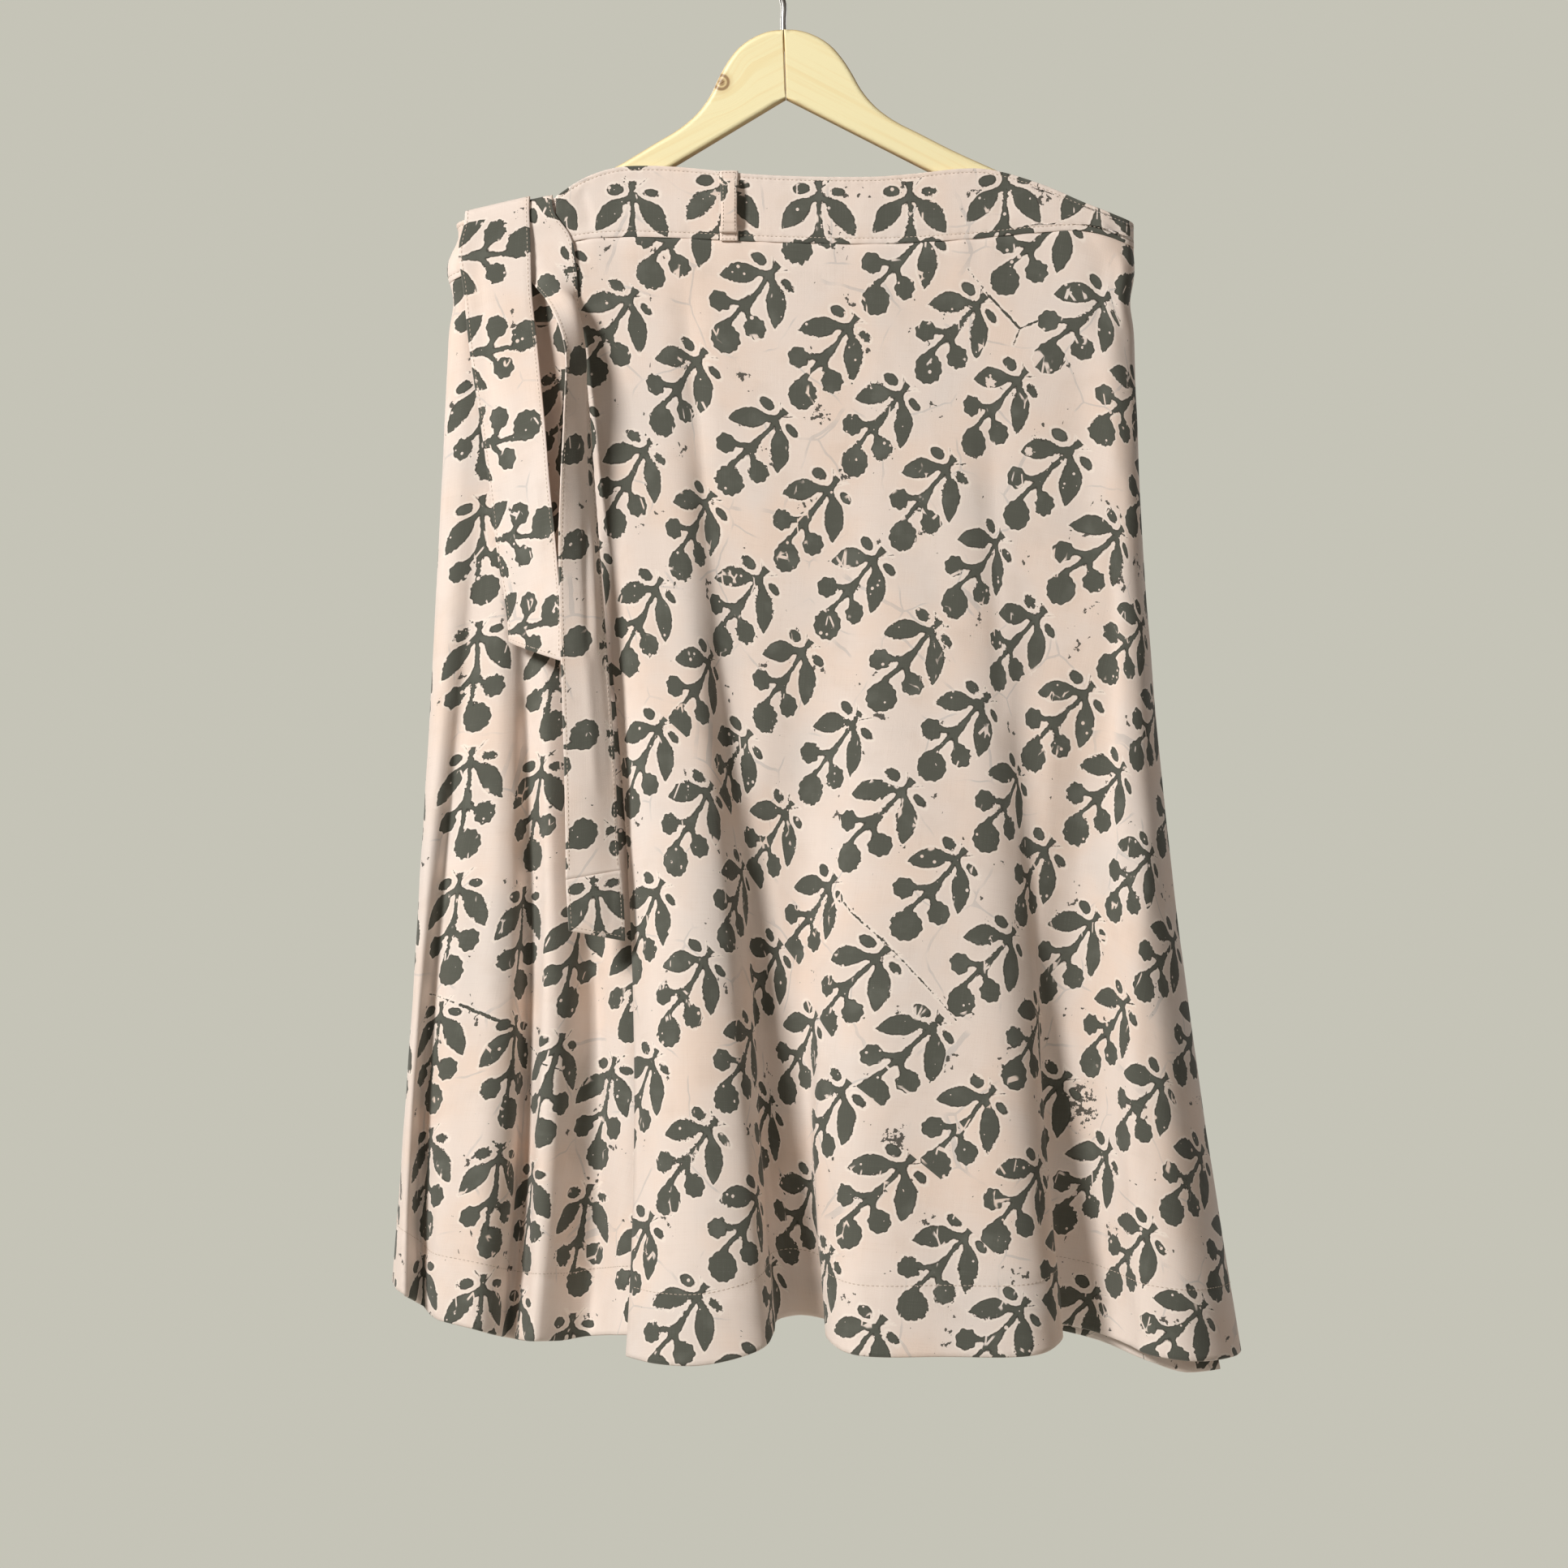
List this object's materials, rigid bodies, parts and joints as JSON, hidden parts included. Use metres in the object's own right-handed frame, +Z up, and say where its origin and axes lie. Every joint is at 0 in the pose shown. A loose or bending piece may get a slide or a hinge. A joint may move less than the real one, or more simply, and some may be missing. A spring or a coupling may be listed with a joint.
{
  "type": "wrap skirt on a wooden hanger",
  "caption": "Flared cotton wrap skirt with a straight waistband, hanging ties and a belt loop, hung by its waistband on a pine hanger with a steel hook.",
  "frame": {"origin": "inside of the hook's crown, where a rail carries it", "axes": "+X to the viewer's right along the hanger, -Y is the front, +Z up"},
  "size_m": [0.563, 0.1594, 0.9579],
  "materials": {
    "cotton": "plain-woven cotton, cream-pink ground with a dark grey-green block print",
    "pine": "smooth pale pine, thin clear varnish",
    "steel": "plain bright wire"
  },
  "bodies": {
    "root": {"over_wrap": "cotton", "under_wrap": "cotton", "back_panel": "cotton", "waistband": "cotton", "tie_short": "cotton", "tie_long": "cotton", "tie_long_end": "cotton", "belt_loop": "cotton", "hanger_left": "pine", "hanger_right": "pine", "hanger_hook": "steel"}
  },
  "joints": []
}
